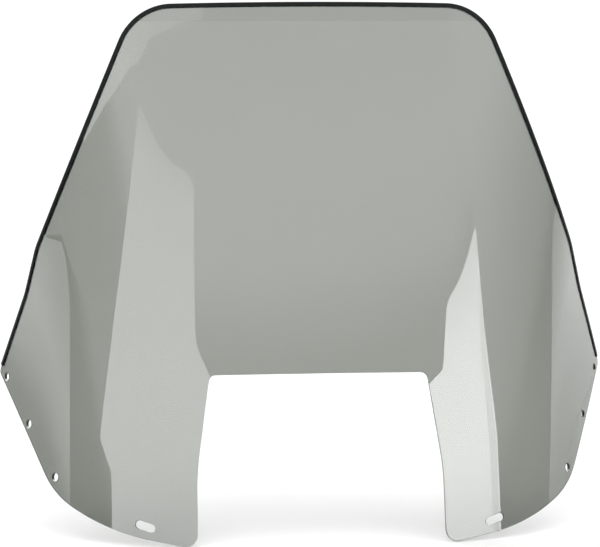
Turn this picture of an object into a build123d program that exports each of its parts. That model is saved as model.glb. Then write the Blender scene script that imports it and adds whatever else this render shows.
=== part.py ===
from build123d import *
import math
import os

# A wrap-around windshield screen: one sheet of smoke-tinted polycarbonate with a push-on edge trim.
#
# The sheet is bent about straight lines only, so its surface is a general cylinder: a plan curve,
# carried along the straight bend lines. The outline is drawn as it is seen from straight in front,
# in X and Z, with the bend lines upright, and the finished screen is then leaned back.
# X is to the right, Y points back to the hollow side, and Z is up.

# Plan curve: a flat crown, tighter shoulders and nearly straight wings. Arc lengths count from the middle.
CROWN_RADIUS = 1346.0
SHOULDER_RADIUS = 178.3
WING_RADIUS = 612.0
CROWN_END = 144.1          # arc length at which the crown turns into the shoulder
SHOULDER_END = 296.0       # arc length at which the shoulder turns into the wing
BLEND = 40.0               # arc length over which the curvature changes from one radius to the next
PLAN_END = 440.0           # arc length at which the working surface ends, past the wing's tip
PLAN_STEP = 0.5            # step of the sums along the plan curve
SPLINE_STATIONS = 22       # points on each side that the surface is drawn through

SHEET = 3.0                # thickness of the sheet
LEAN = 12.0                # degrees that the screen leans back

# Front outline of the right half. Each corner is where two sides meet, with its rounding radius.
TOP_HEIGHT = 322.6
TOP_CORNER = ((177.5, TOP_HEIGHT), 56.7)
WAIST_ABOVE = ((277.5, 87.9), 70.0)
WAIST_BELOW = ((288.9, 42.5), 90.0)
WING_TIP = ((316.2, -32.2), 11.0)
LEG_CORNER = ((263.0, -166.0), 85.0)
LEG_TURN = ((207.2, -206.0), 190.0)
LEG_TOE = ((123.8, -224.4), 12.0)
CUTOUT_BEND = ((123.0, -148.8), 250.0)
CUTOUT_CORNER = ((108.9, -52.8), 7.0)
RIGHT_HALF = (TOP_CORNER, WAIST_ABOVE, WAIST_BELOW, WING_TIP, LEG_CORNER, LEG_TURN, LEG_TOE,
              CUTOUT_BEND, CUTOUT_CORNER)

# Fixing holes in the right half: three round holes down the wing's edge and one slot in the leg.
HOLE_DIAMETER = 8.8
HOLE_CENTRES = ((308.8, -39.3), (287.1, -90.9), (261.8, -147.4))
SLOT_CENTRE = (174.9, -200.3)
SLOT_LENGTH = 21.0
SLOT_WIDTH = 8.4
SLOT_TILT = 19.0           # degrees that the slot's outer end is higher than its inner end

# Edge trim: a U-shaped black extrusion pushed over the top edge and down both sides.
TRIM_GRIP = 3.7            # how far it reaches over the sheet from the edge
TRIM_WEB = 1.0             # its thickness outside the edge
TRIM_WALL = 0.9            # its thickness on each face of the sheet
TRIM_FOOT = -25.5          # height of its two ends
TRIM_BEVEL = 0.6           # bevel of its two outer corners
TRIM_GAP = 0.08            # room between its walls and the sheet
STRAIGHT_STEP = 10.0       # spacing of its sections along the outline's straight sides
CORNER_STEP = 5.0          # and round its corners

SURFACE_BOTTOM = -250.0    # the working surface's lower end
SURFACE_TOP = 350.0        # and its upper end
REACH = 500.0              # how far the outline's prism reaches, front and back
DRILL = 30.0               # length of the cutters


def plan_table():
    """Arc length, X, Y and heading at small steps along the plan curve, from its middle to its end."""
    def curvature(arc):
        to_shoulder = min(max((arc - CROWN_END) / BLEND + 0.5, 0.0), 1.0)
        to_wing = min(max((arc - SHOULDER_END) / BLEND + 0.5, 0.0), 1.0)
        rise = 1 / SHOULDER_RADIUS - 1 / CROWN_RADIUS
        fall = 1 / SHOULDER_RADIUS - 1 / WING_RADIUS
        return 1 / CROWN_RADIUS + rise * to_shoulder - fall * to_wing

    x = y = heading = 0.0
    table = [(0.0, x, y, heading)]
    for step in range(round(PLAN_END / PLAN_STEP)):
        turn = curvature((step + 0.5) * PLAN_STEP) * PLAN_STEP
        x += PLAN_STEP * math.cos(heading + turn / 2)
        y += PLAN_STEP * math.sin(heading + turn / 2)
        heading += turn
        table.append(((step + 1) * PLAN_STEP, x, y, heading))
    return table


PLAN = plan_table()


def plan_point(value, column):
    """The signed arc length, X, Y and heading where the arc length (column 0) or X (column 1) is value."""
    side = -1.0 if value < 0 else 1.0
    last = next(i for i in range(1, len(PLAN)) if PLAN[i][column] >= abs(value))
    before = PLAN[last - 1]
    after = PLAN[last]
    part = (abs(value) - before[column]) / (after[column] - before[column])
    arc, x, y, heading = (a + part * (b - a) for a, b in zip(before, after))
    return side * arc, side * x, y, side * heading


def bent_face(offset):
    """The working surface, moved by offset towards the outer face's side."""
    points = []
    for station in range(-SPLINE_STATIONS, SPLINE_STATIONS + 1):
        _, x, y, heading = plan_point(station * (PLAN_END - PLAN_STEP) / SPLINE_STATIONS, 0)
        points.append((x + offset * math.sin(heading), y - offset * math.cos(heading)))
    edge = Spline(*points).moved(Location((0, 0, SURFACE_BOTTOM)))
    return Face.extrude(edge, (0, 0, SURFACE_TOP - SURFACE_BOTTOM))


def trimmed(face, outline):
    """The piece of a bent face inside a closed outline that is drawn in the XZ plane."""
    prism = extrude(make_face(outline), amount=REACH, both=True)
    return (face & prism).faces().sort_by(SortBy.AREA)[-1]


def mirrored(corners):
    """The same corners on the left, in reverse order."""
    return [((-x, z), radius) for (x, z), radius in reversed(corners)]


def front_outline():
    corners = list(RIGHT_HALF) + mirrored(RIGHT_HALF)
    return FilletPolyline(*[(x, 0, z) for (x, z), _ in corners], radius=[r for _, r in corners], close=True)


def trim_run():
    """The sheet's edge under the trim, from the foot on the right, over the top, to the foot on the left."""
    (x0, z0), _ = WAIST_BELOW
    (x1, z1), _ = WING_TIP
    foot = (x0 + (x1 - x0) * (TRIM_FOOT - z0) / (z1 - z0), TRIM_FOOT)
    right = [(foot, 0), WAIST_BELOW, WAIST_ABOVE, TOP_CORNER]
    corners = right + mirrored(right)
    return FilletPolyline(*[(x, 0, z) for (x, z), _ in corners], radius=[r for _, r in corners[1:-1]])


def make_sheet():
    sheet = Solid.thicken(trimmed(bent_face(0), front_outline()), SHEET, normal_override=(0, 1, 0))
    for side in (-1, 1):
        for x, z in HOLE_CENTRES:
            sheet -= surface_frame(side * x, z) * Cylinder(HOLE_DIAMETER / 2, DRILL)
        slot = extrude(SlotOverall(SLOT_LENGTH, SLOT_WIDTH), amount=DRILL / 2, both=True)
        x, z = SLOT_CENTRE
        sheet -= surface_frame(side * x, z) * Rot(0, 0, side * SLOT_TILT) * slot
    return sheet


def surface_frame(x, z):
    """A frame on the outer face: its Z leaves the face outwards and its Y is up."""
    _, _, y, heading = plan_point(x, 1)
    across = (math.cos(heading), math.sin(heading), 0)
    outwards = (math.sin(heading), -math.cos(heading), 0)
    return Plane(origin=(x, y, z), x_dir=across, z_dir=outwards).location


def trim_stations(run):
    """Points on the sheet's front outline with its directions, closer together where it turns."""
    stations = []
    for edge in run.edges():
        step = STRAIGHT_STEP if edge.geom_type == GeomType.LINE else CORNER_STEP
        count = math.ceil(edge.length / step)
        stations += [(edge @ (i / count), edge % (i / count)) for i in range(count)]
    return stations + [(run @ 1, run % 1)]


def trim_section(point, way):
    """The trim's U-shaped section where the sheet's edge passes a point of its front outline."""
    _, x, y, heading = plan_point(point.X, 1)
    outwards = Vector(math.sin(heading), -math.cos(heading), 0)
    along = Vector(way.X, way.X * math.tan(heading), way.Z).normalized()
    beyond = along.cross(outwards)
    frame = Plane(origin=(x, y, point.Z), x_dir=beyond, z_dir=beyond.cross(outwards))
    front = TRIM_GAP + TRIM_WALL
    back = -SHEET - front
    corners = [(-TRIM_GRIP, TRIM_GAP), (-TRIM_GRIP, front), (TRIM_WEB - TRIM_BEVEL, front),
               (TRIM_WEB, front - TRIM_BEVEL), (TRIM_WEB, back + TRIM_BEVEL), (TRIM_WEB - TRIM_BEVEL, back),
               (-TRIM_GRIP, back), (-TRIM_GRIP, -SHEET - TRIM_GAP), (TRIM_GAP, -SHEET - TRIM_GAP),
               (TRIM_GAP, TRIM_GAP)]
    return frame.location * Wire.make_polygon([Vector(u, v, 0) for u, v in corners])


def make_trim():
    sections = [trim_section(point, way) for point, way in trim_stations(trim_run())]
    return Solid.make_loft(sections, ruled=True)


def main():
    lean = Rot(X=-LEAN)
    pieces = {"screen": lean * make_sheet(), "edge_trim": lean * make_trim()}
    box = pieces["screen"].bounding_box().add(pieces["edge_trim"].bounding_box())
    stand = Pos(0, -box.center().Y, -box.min.Z)
    os.makedirs("parts", exist_ok=True)
    for name, piece in pieces.items():
        export_step(stand * piece, f"parts/{name}.step")


main()
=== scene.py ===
import math

import bmesh
import bpy
import numpy as np
from mathutils import Matrix, Vector
from mathutils.geometry import delaunay_2d_cdt


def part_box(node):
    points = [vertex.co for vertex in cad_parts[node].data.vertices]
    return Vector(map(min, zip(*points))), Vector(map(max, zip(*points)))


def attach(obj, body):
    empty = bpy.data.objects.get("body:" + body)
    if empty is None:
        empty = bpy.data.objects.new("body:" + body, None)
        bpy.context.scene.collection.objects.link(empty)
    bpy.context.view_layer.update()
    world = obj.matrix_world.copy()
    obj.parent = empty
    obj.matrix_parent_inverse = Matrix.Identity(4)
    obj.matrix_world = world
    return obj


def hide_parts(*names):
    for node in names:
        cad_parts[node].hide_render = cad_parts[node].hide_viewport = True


# A smoke-tinted windshield screen with its black edge trim, on a pale studio floor.
#
# The screen is a sheet bent about straight lines, so every point of it has flat coordinates: arc
# (across, along the plan curve), height (up the bend lines) and depth (into the sheet from its outer
# face). Both pieces are drawn in those coordinates, in millimetres, and then bent and leaned back.

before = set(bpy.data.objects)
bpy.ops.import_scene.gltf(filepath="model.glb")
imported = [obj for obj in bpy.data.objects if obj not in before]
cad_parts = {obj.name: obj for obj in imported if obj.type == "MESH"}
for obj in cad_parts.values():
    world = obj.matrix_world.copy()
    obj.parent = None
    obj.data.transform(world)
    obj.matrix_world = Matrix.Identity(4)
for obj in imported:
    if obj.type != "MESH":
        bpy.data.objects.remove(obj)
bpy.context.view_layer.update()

# ---------------------------------------------------------------- driving dimensions, as in the CAD model

CROWN_RADIUS = 1346.0
SHOULDER_RADIUS = 178.3
WING_RADIUS = 612.0
CROWN_END = 144.1
SHOULDER_END = 296.0
BLEND = 40.0
PLAN_END = 440.0
PLAN_STEP = 0.5
SHEET = 3.0
LEAN = math.radians(12.0)

TOP_HEIGHT = 322.6
TOP_CORNER = ((177.5, TOP_HEIGHT), 56.7)
WAIST_ABOVE = ((277.5, 87.9), 70.0)
WAIST_BELOW = ((288.9, 42.5), 90.0)
WING_TIP = ((316.2, -32.2), 11.0)
LEG_CORNER = ((263.0, -166.0), 85.0)
LEG_TURN = ((207.2, -206.0), 190.0)
LEG_TOE = ((123.8, -224.4), 12.0)
CUTOUT_BEND = ((123.0, -148.8), 250.0)
CUTOUT_CORNER = ((108.9, -52.8), 7.0)
RIGHT_HALF = (TOP_CORNER, WAIST_ABOVE, WAIST_BELOW, WING_TIP, LEG_CORNER, LEG_TURN, LEG_TOE,
              CUTOUT_BEND, CUTOUT_CORNER)

HOLE_RADIUS = 4.4
HOLE_CENTRES = ((308.8, -39.3), (287.1, -90.9), (261.8, -147.4))
SLOT_CENTRE = (174.9, -200.3)
SLOT_LENGTH = 21.0
SLOT_WIDTH = 8.4
SLOT_TILT = math.radians(19.0)

TRIM_GRIP = 3.7
TRIM_WEB = 1.0
TRIM_WALL = 0.9
TRIM_GAP = 0.08
TRIM_FOOT = -25.5

# ---------------------------------------------------------------- fineness of the meshes

OUTLINE_STEP = 2.5         # spacing of points along the sheet's outline
LATTICE = 5.0              # spacing of the points inside it
LATTICE_CLEARANCE = 0.55   # how near a loop a point inside may come, as a share of that spacing
EDGE_ROUND = 0.45          # rounding where the sheet's faces meet its polished edge
HOLE_POINTS = 40
FINEST_TURN = math.radians(9.0)    # the most that one step of a small arc turns
TRIM_STEP = 2.5
SECTION_STEP = 1.6         # spacing of points round the trim's section
WEB_ROUND = 0.9            # rounding of the trim's section: its web's corners,
LIP_ROUND = 0.42           # the outer corners of its lips,
LIP_INNER_ROUND = 0.25     # their inner corners,
CHANNEL_ROUND = 0.2        # and the bottom of its channel
END_ROUND = 0.3            # rounding of the trim's two ends

# ---------------------------------------------------------------- the studio and the camera

FLOOR_REACH = 400.0        # half the floor's width in metres, so that its far edge meets the horizon

# Brightness of the white surroundings, which goes evenly from the horizon up to a higher point.
HORIZON = 1.09
ZENITH = 1.17
HORIZON_TOP = 0.02         # heights on a unit sphere
ZENITH_FOOT = 0.4

# What gloss sees of the room: (elevation in degrees, brightness), the same all round.
ROOM = ((0, 0.0), (8.5, 0.0), (10.5, 0.9), (14, 0.8), (16.8, 0.9), (17.6, 1.4), (18.8, 2.3), (20.7, 2.5),
        (25, 2.0), (36, 6.0), (70, 6.0))

OVERHEAD_SIZE = 3.0        # metres
OVERHEAD_POWER = 8.0       # watts
OVERHEAD_PLACE = (0, 0.3, 3.0)

# The light panels stand on a circle round the object. A panel's corners are ((azimuth, height), rounding),
# with azimuths in degrees from straight in front and heights in metres. They are drawn flat, where
# PANEL_DEGREES of azimuth are as long as a metre of height.
PANEL_DISTANCE = 2.4
PANEL_TOP = 2.0
PANEL_DEGREES = 50
PANEL_STEP = 0.02
PANEL_LATTICE = 0.08
BEHIND = 1.1               # a wall stands this many times further out than the softboxes
IN_FRONT = 0.98            # and a shade this many times
LEFT_SOFTBOX = (((-7, 0.0), 0), ((-7, 0.84), 0), ((-9.5, 0.92), 0.1), ((-9.5, 1.26), 0.04),
                ((-34, 1.31), 0.02), ((-63.5, 0.46), 0), ((-55.5, 0.46), 0), ((-54.5, 0.0), 0))
RIGHT_SOFTBOX = (((49, 0.0), 0), ((49, 0.57), 0.1), ((43, 0.8), 0.1), ((39.5, 1.03), 0.03),
                 ((24, 0.96), 0.04), ((22.7, 0.83), 0.0), ((19, 0.79), 0.0), ((18, 0.0), 0))
RIGHT_SOFTBOX_SHADE = (((48.2, 0.0), 0), ((48.2, 0.57), 0.1), ((43, 0.78), 0.1), ((41, 0.92), 0.0),
                       ((39.5, 0.9), 0), ((40, 0.78), 0.1), ((43.5, 0.57), 0.1), ((44, 0.0), 0))
HIGH_LEFT_STRIP = (((-8, 1.59), 0), ((-8, 2.0), 0), ((-95, 2.0), 0), ((-95, 0.92), 0), ((-74, 0.92), 0),
                   ((-58.5, 1.13), 0), ((-41, 1.34), 0), ((-34.5, 1.39), 0), ((-26, 1.49), 0))
RIGHT_WALL = (((38, 0.0), 0), ((38, 1.0), 0), ((34, 1.2), 0), ((30, 1.5), 0), ((160, 1.5), 0),
              ((160, 0.0), 0))
LEFT_FAR_WALL = (((-74, 0.6), 0), ((-74, 0.95), 0), ((-160, 0.95), 0), ((-160, 0.45), 0), ((-104, 0.45), 0),
                 ((-92, 0.56), 0))
LEFT_BACKDROP = (((-86, -0.02), 0), ((-85.3, 0.57), 0.08), ((-92, 0.57), 0), ((-104, 0.47), 0),
                 ((-150, 0.47), 0), ((-150, -0.02), 0))
RIGHT_BACKDROP = (((150, -0.02), 0), ((150, 0.48), 0), ((103, 0.48), 0.05), ((97, 0.31), 0), ((88, 0.12), 0),
                  ((88, -0.02), 0))

CAMERA_AZIMUTH = 6.03      # degrees to the left of straight in front
CAMERA_ELEVATION = 5.17
CAMERA_ROLL = -0.14
CAMERA_DISTANCE = 2.87     # metres
CAMERA_TARGET = (-0.012, 0.0, 0.261)
CAMERA_LENS = 169.9
CAMERA_REACH = 1000.0      # metres, past the floor's far edge


# ---------------------------------------------------------------- the bent surface

def plan_curve():
    """Arc length, X, Y and heading at small steps along the plan curve, from its middle to its end."""
    middle = (np.arange(round(PLAN_END / PLAN_STEP)) + 0.5) * PLAN_STEP
    to_shoulder = np.clip((middle - CROWN_END) / BLEND + 0.5, 0, 1)
    to_wing = np.clip((middle - SHOULDER_END) / BLEND + 0.5, 0, 1)
    rise = 1 / SHOULDER_RADIUS - 1 / CROWN_RADIUS
    fall = 1 / SHOULDER_RADIUS - 1 / WING_RADIUS
    turn = (1 / CROWN_RADIUS + rise * to_shoulder - fall * to_wing) * PLAN_STEP
    heading = np.concatenate(([0.0], np.cumsum(turn)))
    way = heading[:-1] + turn / 2
    x = np.concatenate(([0.0], np.cumsum(PLAN_STEP * np.cos(way))))
    y = np.concatenate(([0.0], np.cumsum(PLAN_STEP * np.sin(way))))
    return np.arange(len(x)) * PLAN_STEP, x, y, heading


PLAN_ARC, PLAN_X, PLAN_Y, PLAN_HEADING = plan_curve()


def on_plan(arc, column):
    return np.interp(np.abs(arc), PLAN_ARC, column)


def arc_at(x):
    """The signed arc length at a distance x from the screen's middle plane."""
    return np.sign(x) * np.interp(np.abs(x), PLAN_X, PLAN_ARC)


def leaned(points):
    """Points or directions of the upright screen, turned back by its lean."""
    x, y, z = points.T
    back = y * math.cos(LEAN) + z * math.sin(LEAN)
    up = z * math.cos(LEAN) - y * math.sin(LEAN)
    return np.stack((x, back, up), axis=1)


def bent(arc, height, depth):
    """Points of the leaned screen from flat coordinates, in millimetres."""
    heading = np.sign(arc) * on_plan(arc, PLAN_HEADING)
    x = np.sign(arc) * on_plan(arc, PLAN_X) - depth * np.sin(heading)
    y = on_plan(arc, PLAN_Y) + depth * np.cos(heading)
    return leaned(np.stack((x, y, height + 0 * arc), axis=1))


def bent_direction(arc, across, up, inwards):
    """Unit directions of the leaned screen from directions in flat coordinates."""
    heading = np.sign(arc) * on_plan(arc, PLAN_HEADING)
    x = across * np.cos(heading) - inwards * np.sin(heading)
    y = across * np.sin(heading) + inwards * np.cos(heading)
    way = leaned(np.stack((x, y, up + 0 * arc), axis=1))
    return way / np.linalg.norm(way, axis=1)[:, None]


# ---------------------------------------------------------------- outlines

def rounded(corners, step, closed):
    """Points along a line through corners ((x, y), radius), with straight sides and true arcs."""
    places = [np.array(place, float) for place, _ in corners]
    count = len(corners)
    arcs = []
    for index, (_, radius) in enumerate(corners):
        here = places[index]
        if radius == 0 or (not closed and index in (0, count - 1)):
            arcs.append([here])
            continue
        back = places[index - 1] - here
        ahead = places[(index + 1) % count] - here
        back /= np.linalg.norm(back)
        ahead /= np.linalg.norm(ahead)
        half = math.acos(float(np.clip(back @ ahead, -1, 1))) / 2
        centre = here + (back + ahead) / np.linalg.norm(back + ahead) * radius / math.sin(half)
        start = here + back * radius / math.tan(half) - centre
        sweep = math.pi - 2 * half
        if back[0] * ahead[1] - back[1] * ahead[0] > 0:
            sweep = -sweep
        pieces = max(math.ceil(abs(sweep) * radius / step), math.ceil(abs(sweep) / FINEST_TURN))
        turns = [sweep * k / pieces for k in range(pieces + 1)]
        arcs.append([centre + np.array((start[0] * math.cos(a) - start[1] * math.sin(a),
                                        start[0] * math.sin(a) + start[1] * math.cos(a))) for a in turns])
    points = []
    for index in range(count):
        points += arcs[index]
        if closed or index < count - 1:
            first = arcs[index][-1]
            last = arcs[(index + 1) % count][0]
            pieces = max(1, math.ceil(np.linalg.norm(last - first) / step))
            points += [first + (last - first) * k / pieces for k in range(1, pieces)]
    return np.array(points)


def mirrored(corners):
    return tuple(((-x, z), radius) for (x, z), radius in reversed(corners))


def flattened(front):
    """Flat coordinates of points drawn from in front."""
    return np.stack((arc_at(front[:, 0]), front[:, 1]), axis=1)


def side_normals(points, closed):
    """Unit normals in the plane, to the left of the way along the points."""
    if closed:
        way = np.roll(points, -1, axis=0) - np.roll(points, 1, axis=0)
    else:
        way = np.gradient(points, axis=0)
    way /= np.linalg.norm(way, axis=1)[:, None]
    return np.stack((-way[:, 1], way[:, 0]), axis=1)


def sheet_loops():
    """The outline, holes and slots in flat coordinates, each with normals that point off the sheet."""
    corners = RIGHT_HALF + mirrored(RIGHT_HALF)
    outline = flattened(rounded(corners, OUTLINE_STEP, True))
    loops = [(outline, side_normals(outline, True))]
    turns = np.arange(HOLE_POINTS) * 2 * math.pi / HOLE_POINTS
    circle = np.stack((np.cos(turns), np.sin(turns)), axis=1)
    bar = SLOT_LENGTH / 2 - SLOT_WIDTH / 2
    for side in (-1, 1):
        for x, z in HOLE_CENTRES:
            loops.append((np.array((arc_at(side * x), z)) + HOLE_RADIUS * circle, -circle))
        tilt = side * SLOT_TILT
        along = np.array((math.cos(tilt), math.sin(tilt)))
        round_end = circle @ np.array(((math.cos(tilt), math.sin(tilt)), (-math.sin(tilt), math.cos(tilt))))
        reach = np.where(circle[:, :1] >= -1e-9, bar, -bar) * along
        centre = np.array((arc_at(side * SLOT_CENTRE[0]), SLOT_CENTRE[1]))
        loops.append((centre + reach + SLOT_WIDTH / 2 * round_end, -round_end))
    return loops


def crossings(points, loops):
    """How many times a line to the right of each point crosses the loops."""
    count = np.zeros(len(points), int)
    for loop in loops:
        for (x0, y0), (x1, y1) in zip(loop, np.roll(loop, -1, axis=0)):
            if y0 == y1:
                continue
            spans = (points[:, 1] > min(y0, y1)) & (points[:, 1] <= max(y0, y1))
            x = x0 + (points[:, 1] - y0) / (y1 - y0) * (x1 - x0)
            count += spans & (points[:, 0] < x)
    return count


# ---------------------------------------------------------------- meshes

def stand_shift():
    """The move from the upright screen's own frame to the row frame, found from the CAD sheet's box."""
    low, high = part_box("screen")
    front = rounded(RIGHT_HALF + mirrored(RIGHT_HALF), OUTLINE_STEP, True)
    flat = flattened(front)
    shape = np.concatenate([bent(flat[:, 0], flat[:, 1], depth) for depth in (0.0, SHEET)]) * 0.001
    ends = shape.min(axis=0), shape.max(axis=0)
    middle_y = (low[1] + high[1]) / 2 - (ends[0][1] + ends[1][1]) / 2
    return np.array((0.0, middle_y, low[2] - ends[0][2]))


SHIFT = stand_shift()


def make_object(name, points, faces):
    mesh = bpy.data.meshes.new(name)
    mesh.from_pydata((points * 0.001 + SHIFT).tolist(), [], faces)
    mesh.update()
    mesh.shade_smooth()
    piece = bpy.data.objects.new(name, mesh)
    bpy.context.scene.collection.objects.link(piece)
    return piece


def filled(rims, pitch):
    """Vertices and triangles that fill flat loops, and each loop's own vertices.

    A loop that lies inside another is a hole in it. The points between are pitch apart.
    """
    low = rims[0].min(axis=0)
    high = rims[0].max(axis=0)
    columns = np.arange(math.ceil(low[0] / pitch[0]), math.floor(high[0] / pitch[0]) + 1) * pitch[0]
    rows = np.arange(low[1], high[1], pitch[1])
    lattice = np.stack(np.meshgrid(columns, rows), axis=-1).reshape(-1, 2)
    lattice = lattice[crossings(lattice, rims) % 2 == 1]
    rim_points = np.concatenate(rims)
    room = np.full(len(lattice), np.inf)
    for point in rim_points:
        room = np.minimum(room, np.hypot(*((lattice - point) / pitch).T))
    lattice = lattice[room > LATTICE_CLEARANCE]

    edges = []
    first = 0
    for rim in rims:
        edges += [(first + k, first + (k + 1) % len(rim)) for k in range(len(rim))]
        first += len(rim)
    given = [Vector(point) for point in np.concatenate((rim_points, lattice))]
    vertices, _, triangles, origin, _, _ = delaunay_2d_cdt(given, edges, [], 0, 1e-6)
    flat = np.array([tuple(vertex) for vertex in vertices])
    triangles = np.array(triangles)
    inside = crossings(flat[triangles].mean(axis=1), rims) % 2 == 1
    found = {source: index for index, sources in enumerate(origin) for source in sources}
    rim_vertices = []
    first = 0
    for rim in rims:
        rim_vertices.append([found[first + k] for k in range(len(rim))])
        first += len(rim)
    return flat, triangles[inside], rim_vertices


def make_screen():
    """The sheet: two faces from one flat triangulation, joined round every loop by a rounded edge."""
    loops = sheet_loops()
    rims = [loop - outwards * EDGE_ROUND for loop, outwards in loops]
    flat, triangles, rim_vertices = filled(rims, (LATTICE, LATTICE))
    count = len(flat)
    arc = [flat[:, 0], flat[:, 0]]
    height = [flat[:, 1], flat[:, 1]]
    depth = [np.zeros(count), np.full(count, SHEET)]
    normals = [bent_direction(flat[:, 0], 0, 0, -1), bent_direction(flat[:, 0], 0, 0, 1)]
    faces = [tuple(t) for t in triangles[:, ::-1].tolist()] + [tuple(t) for t in (triangles + count).tolist()]

    total = 2 * count
    slant = math.sqrt(0.5)
    # Between the two faces: how far each ring lies in from the edge, its depth, and its normal's two parts.
    rings = ((EDGE_ROUND * (1 - slant), EDGE_ROUND * (1 - slant), slant, -slant),
             (0, EDGE_ROUND, 1, 0),
             (0, SHEET - EDGE_ROUND, 1, 0),
             (EDGE_ROUND * (1 - slant), SHEET - EDGE_ROUND * (1 - slant), slant, slant))
    for (loop, outwards), rim in zip(loops, rim_vertices):
        size = len(loop)
        chain = [rim]
        for inset, deep, out_part, in_part in rings:
            points = loop - outwards * inset
            arc.append(points[:, 0])
            height.append(points[:, 1])
            depth.append(np.full(size, deep))
            off = outwards * out_part
            normals.append(bent_direction(points[:, 0], off[:, 0], off[:, 1], in_part))
            chain.append(list(range(total, total + size)))
            total += size
        chain.append([vertex + count for vertex in rim])
        for near, far in zip(chain, chain[1:]):
            for k in range(size):
                faces.append((near[k], near[(k + 1) % size], far[(k + 1) % size], far[k]))
    points = bent(np.concatenate(arc), np.concatenate(height), np.concatenate(depth))
    screen = make_object("screen_sheet", points, faces)
    outward_faces(screen)
    screen.data.normals_split_custom_set_from_vertices(np.concatenate(normals).tolist())
    return screen


def outward_faces(piece):
    """Turns every face of a closed mesh outwards."""
    work = bmesh.new()
    work.from_mesh(piece.data)
    bmesh.ops.recalc_face_normals(work, faces=work.faces)
    work.to_mesh(piece.data)
    work.free()


def trim_section():
    """The trim's U-shaped section and its outward normals.

    Its points are (how far beyond the sheet's edge, how deep from the sheet's outer face).
    """
    front = -TRIM_GAP - TRIM_WALL
    back = SHEET + TRIM_GAP + TRIM_WALL
    inner = SHEET + TRIM_GAP
    corners = (((-TRIM_GRIP, front), LIP_ROUND), ((TRIM_WEB, front), WEB_ROUND),
               ((TRIM_WEB, back), WEB_ROUND),
               ((-TRIM_GRIP, back), LIP_ROUND), ((-TRIM_GRIP, inner), LIP_INNER_ROUND),
               ((TRIM_GAP, inner), CHANNEL_ROUND), ((TRIM_GAP, -TRIM_GAP), CHANNEL_ROUND),
               ((-TRIM_GRIP, -TRIM_GAP), LIP_INNER_ROUND))
    section = rounded(corners, SECTION_STEP, True)
    return section, -side_normals(section, True)


def make_trim():
    """The trim: its section, carried along the sheet's edge from one foot over the top to the other."""
    (x0, z0), _ = WAIST_BELOW
    (x1, z1), _ = WING_TIP
    foot = (x0 + (x1 - x0) * (TRIM_FOOT - z0) / (z1 - z0), TRIM_FOOT)
    right = ((foot, 0), WAIST_BELOW, WAIST_ABOVE, TOP_CORNER)
    run = flattened(rounded(right + mirrored(right), TRIM_STEP, False))
    beyond = side_normals(run, False)
    if beyond[len(run) // 2][1] < 0:
        beyond = -beyond
    way = np.gradient(run, axis=0)
    way /= np.linalg.norm(way, axis=1)[:, None]

    # Each station: a point of the run, its direction beyond the edge, and how far the section is drawn in.
    stations = [(point, normal, 0.0) for point, normal in zip(run, beyond)]
    stations = rounded_end(run[0], way[0], beyond[0]) + stations[1:-1]
    stations += rounded_end(run[-1], -way[-1], beyond[-1])[::-1]
    section, outward = trim_section()
    rows = []
    for (arc, height), normal, inset in stations:
        ring = section - outward * inset
        rows.append(bent(arc + ring[:, 0] * normal[0], height + ring[:, 0] * normal[1], ring[:, 1]))
    size = len(section)
    faces = []
    for index in range(len(rows) - 1):
        near = index * size
        far = near + size
        faces += [(near + k, near + (k + 1) % size, far + (k + 1) % size, far + k) for k in range(size)]
    faces.append(tuple(range(size)))
    faces.append(tuple(range((len(rows) - 1) * size, len(rows) * size)))
    trim = make_object("edge_trim_strip", np.concatenate(rows), faces)
    outward_faces(trim)
    return trim


def rounded_end(point, inwards, normal):
    """Stations that round off an end of the trim, from its outermost one inwards."""
    return [(point + inwards * END_ROUND * (1 - math.sin(angle)), normal, END_ROUND * (1 - math.cos(angle)))
            for angle in (math.radians(a) for a in (90, 60, 30, 0))]


# ---------------------------------------------------------------- materials

def new_material(name):
    material = bpy.data.materials.new(name)
    material.use_nodes = True
    nodes = material.node_tree.nodes
    return material, nodes, material.node_tree.links, nodes["Principled BSDF"]


def noise(nodes, links, scale, detail, low, high):
    """Noise in the object's own space, mapped to the range low to high."""
    place = nodes.new("ShaderNodeTexCoord")
    texture = nodes.new("ShaderNodeTexNoise")
    texture.inputs["Scale"].default_value = scale
    texture.inputs["Detail"].default_value = detail
    spread = nodes.new("ShaderNodeMapRange")
    spread.inputs["From Min"].default_value = 0.3
    spread.inputs["From Max"].default_value = 0.7
    spread.inputs["To Min"].default_value = low
    spread.inputs["To Max"].default_value = high
    links.new(place.outputs["Object"], texture.inputs["Vector"])
    links.new(texture.outputs["Fac"], spread.inputs["Value"])
    return spread.outputs["Result"]


def bump(nodes, links, shader, height, strength, distance):
    relief = nodes.new("ShaderNodeBump")
    relief.inputs["Strength"].default_value = strength
    relief.inputs["Distance"].default_value = distance
    links.new(height, relief.inputs["Height"])
    links.new(relief.outputs["Normal"], shader.inputs["Normal"])


def smoke_polycarbonate():
    material, nodes, links, shader = new_material("smoke_polycarbonate")
    shader.inputs["Base Color"].default_value = (1, 1, 1, 1)
    shader.inputs["Transmission Weight"].default_value = 1.0
    shader.inputs["IOR"].default_value = 1.585
    links.new(noise(nodes, links, 12, 2, 0.0, 0.012), shader.inputs["Roughness"])
    bump(nodes, links, shader, noise(nodes, links, 5, 0, 0, 1), 0.2, 0.0006)
    tint = nodes.new("ShaderNodeVolumeAbsorption")
    tint.inputs["Color"].default_value = (0.533, 0.554, 0.518, 1)
    tint.inputs["Density"].default_value = 970.0
    links.new(tint.outputs["Volume"], nodes["Material Output"].inputs["Volume"])
    return material


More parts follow.
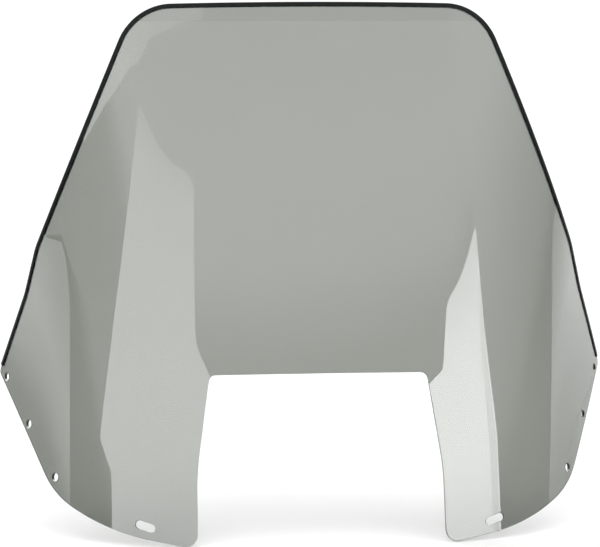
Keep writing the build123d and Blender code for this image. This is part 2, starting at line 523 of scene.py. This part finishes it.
def black_trim():
    material, nodes, links, shader = new_material("black_trim")
    ramp = nodes.new("ShaderNodeValToRGB")
    ramp.color_ramp.elements[0].color = (0.003, 0.004, 0.004, 1)
    ramp.color_ramp.elements[1].color = (0.008, 0.010, 0.009, 1)
    links.new(noise(nodes, links, 220, 4, 0, 1), ramp.inputs["Fac"])
    links.new(ramp.outputs["Color"], shader.inputs["Base Color"])
    links.new(noise(nodes, links, 90, 3, 0.30, 0.48), shader.inputs["Roughness"])
    shader.inputs["Specular IOR Level"].default_value = 0.06
    bump(nodes, links, shader, noise(nodes, links, 900, 3, 0, 1), 0.15, 0.0002)
    return material


def pale_floor():
    material, nodes, links, shader = new_material("pale_floor")
    ramp = nodes.new("ShaderNodeValToRGB")
    ramp.color_ramp.elements[0].color = (0.93, 0.93, 0.93, 1)
    ramp.color_ramp.elements[1].color = (0.95, 0.95, 0.95, 1)
    links.new(noise(nodes, links, 3, 2, 0, 1), ramp.inputs["Fac"])
    links.new(ramp.outputs["Color"], shader.inputs["Base Color"])
    shader.inputs["Roughness"].default_value = 0.9
    shader.inputs["Specular IOR Level"].default_value = 0.1
    return material


# ---------------------------------------------------------------- the object

screen = make_screen()
screen.data.materials.append(smoke_polycarbonate())
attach(screen, "root")
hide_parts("screen")

trim = make_trim()
trim.data.materials.append(black_trim())
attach(trim, "root")
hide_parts("edge_trim")


# ---------------------------------------------------------------- the studio

def make_floor():
    size = FLOOR_REACH
    corners = [(-size, -size, 0), (size, -size, 0), (size, size, 0), (-size, size, 0)]
    mesh = bpy.data.meshes.new("floor")
    mesh.from_pydata(corners, [], [(0, 1, 2, 3)])
    floor = bpy.data.objects.new("floor", mesh)
    bpy.context.scene.collection.objects.link(floor)
    floor.data.materials.append(pale_floor())


def set_levels(ramp, levels):
    """Sets a colour ramp to (position, brightness) levels, as shares of the brightest, which it returns."""
    brightest = max(level for _, level in levels)
    stops = ramp.color_ramp.elements
    while len(stops) > 1:
        stops.remove(stops[-1])
    for index, (position, level) in enumerate(levels):
        stop = stops[0] if index == 0 else stops.new(position)
        stop.position = position
        shade = level / brightest
        stop.color = (shade, shade, shade, 1)
    return brightest


def make_world():
    """White all round; what gloss reflects is a dimmer room, dark low down and brighter overhead."""
    world = bpy.data.worlds.new("studio")
    bpy.context.scene.world = world
    world.use_nodes = True
    nodes = world.node_tree.nodes
    links = world.node_tree.links
    white = nodes["Background"]
    white.inputs["Color"].default_value = (1, 1, 1, 1)
    place = nodes.new("ShaderNodeTexCoord")
    split = nodes.new("ShaderNodeSeparateXYZ")
    links.new(place.outputs["Generated"], split.inputs["Vector"])
    sky = nodes.new("ShaderNodeMapRange")
    sky.inputs["From Min"].default_value = HORIZON_TOP
    sky.inputs["From Max"].default_value = ZENITH_FOOT
    sky.inputs["To Min"].default_value = HORIZON
    sky.inputs["To Max"].default_value = ZENITH
    links.new(split.outputs["Z"], sky.inputs["Value"])
    links.new(sky.outputs["Result"], white.inputs["Strength"])
    ramp = nodes.new("ShaderNodeValToRGB")
    brightest = set_levels(ramp, [(math.sin(math.radians(elevation)), level) for elevation, level in ROOM])
    links.new(split.outputs["Z"], ramp.inputs["Fac"])
    room = nodes.new("ShaderNodeBackground")
    room.inputs["Strength"].default_value = brightest
    links.new(ramp.outputs["Color"], room.inputs["Color"])
    path = nodes.new("ShaderNodeLightPath")
    mirrored_only = nodes.new("ShaderNodeMath")
    mirrored_only.operation = "GREATER_THAN"
    links.new(path.outputs["Is Glossy Ray"], mirrored_only.inputs[0])
    links.new(path.outputs["Is Transmission Ray"], mirrored_only.inputs[1])
    mix = nodes.new("ShaderNodeMixShader")
    links.new(mirrored_only.outputs["Value"], mix.inputs["Fac"])
    links.new(white.outputs["Background"], mix.inputs[1])
    links.new(room.outputs["Background"], mix.inputs[2])
    links.new(mix.outputs["Shader"], nodes["World Output"].inputs["Surface"])


def make_panel(name, corners, levels, distance=1.0):
    """A light panel that only reflections show, standing distance times as far out as the panels' circle.

    Its brightness goes evenly between the levels given at some heights: (height, level) from the bottom up.
    """
    drawn = [((azimuth / PANEL_DEGREES, height), radius) for (azimuth, height), radius in corners]
    flat, triangles, _ = filled([rounded(drawn, PANEL_STEP, True)], (PANEL_LATTICE, PANEL_LATTICE))
    turn = np.radians(flat[:, 0] * PANEL_DEGREES)
    points = np.stack((np.sin(turn), -np.cos(turn), flat[:, 1] / PANEL_DISTANCE), axis=1)
    points = points * PANEL_DISTANCE * distance
    mesh = bpy.data.meshes.new(name)
    mesh.from_pydata(points.tolist(), [], triangles.tolist())
    panel = bpy.data.objects.new(name, mesh)
    bpy.context.scene.collection.objects.link(panel)
    material = bpy.data.materials.new(name)
    material.use_nodes = True
    nodes = material.node_tree.nodes
    nodes.remove(nodes["Principled BSDF"])
    glow = nodes.new("ShaderNodeEmission")
    place = nodes.new("ShaderNodeTexCoord")
    split = nodes.new("ShaderNodeSeparateXYZ")
    fade = nodes.new("ShaderNodeMath")
    fade.operation = "MULTIPLY"
    fade.inputs[1].default_value = 1 / (PANEL_TOP * distance)
    ramp = nodes.new("ShaderNodeValToRGB")
    brightest = set_levels(ramp, [(height / PANEL_TOP, level) for height, level in levels])
    glow.inputs["Strength"].default_value = brightest
    links = material.node_tree.links
    links.new(place.outputs["Object"], split.inputs["Vector"])
    links.new(split.outputs["Z"], fade.inputs[0])
    links.new(fade.outputs["Value"], ramp.inputs["Fac"])
    links.new(ramp.outputs["Color"], glow.inputs["Color"])
    links.new(glow.outputs["Emission"], nodes["Material Output"].inputs["Surface"])
    panel.data.materials.append(material)
    panel.visible_camera = False
    panel.visible_diffuse = False
    panel.visible_transmission = False
    panel.visible_volume_scatter = False
    panel.visible_shadow = False


def make_overhead_light():
    """A wide, soft light from above that washes out the faint shadow on the floor."""
    data = bpy.data.lights.new("overhead", "AREA")
    data.shape = "SQUARE"
    data.size = OVERHEAD_SIZE
    data.energy = OVERHEAD_POWER
    light = bpy.data.objects.new("overhead", data)
    bpy.context.scene.collection.objects.link(light)
    light.location = OVERHEAD_PLACE
    light.visible_camera = False
    light.visible_transmission = False


def make_panels():
    """Each panel: its name, its outline, and its brightness at some heights."""
    make_panel("left_softbox", LEFT_SOFTBOX, ((0.4, 4.9), (0.6, 4.7), (1.0, 4.4), (1.2, 4.1), (1.3, 3.4)))
    make_panel("right_softbox", RIGHT_SOFTBOX, ((0.3, 8.4), (0.45, 9.2), (0.65, 9.6), (0.85, 8.9), (1.0, 6.8)))
    make_panel("right_softbox_shade", RIGHT_SOFTBOX_SHADE, ((0.3, 7.0), (0.7, 7.4), (0.9, 7.0)), IN_FRONT)
    make_panel("high_left_strip", HIGH_LEFT_STRIP, ((0.95, 3.2), (1.3, 3.9), (1.6, 2.9)))
    make_panel("left_backdrop", LEFT_BACKDROP, ((0.0, 0.5), (0.1, 0.7), (0.2, 1.8), (0.3, 2.4), (0.5, 1.7)))
    make_panel("right_backdrop", RIGHT_BACKDROP,
               ((0.0, 1.3), (0.1, 1.6), (0.25, 2.3), (0.4, 1.7), (0.48, 1.3)))
    make_panel("right_wall", RIGHT_WALL, ((0.35, 0.5), (0.45, 0.4), (0.55, 1.0), (0.8, 1.5), (1.15, 2.6)),
               BEHIND)
    make_panel("left_far_wall", LEFT_FAR_WALL, ((0.4, 0.9), (1.0, 0.9)), BEHIND)


def make_camera():
    scene = bpy.context.scene
    camera = bpy.data.objects.new("camera", bpy.data.cameras.new("camera"))
    scene.collection.objects.link(camera)
    scene.camera = camera
    azimuth = math.radians(CAMERA_AZIMUTH)
    elevation = math.radians(CAMERA_ELEVATION)
    back = Vector((-math.sin(azimuth) * math.cos(elevation), -math.cos(azimuth) * math.cos(elevation),
                   math.sin(elevation)))
    camera.location = Vector(CAMERA_TARGET) + back * CAMERA_DISTANCE
    roll = Matrix.Rotation(math.radians(CAMERA_ROLL), 4, "Z")
    turn = back.to_track_quat("Z", "Y").to_matrix().to_4x4() @ roll
    camera.matrix_world = Matrix.Translation(camera.location) @ turn
    camera.data.sensor_width = 36.0
    camera.data.lens = CAMERA_LENS
    camera.data.clip_end = CAMERA_REACH


make_floor()
make_world()
make_overhead_light()
make_panels()
make_camera()
bpy.context.scene.view_settings.view_transform = "Standard"
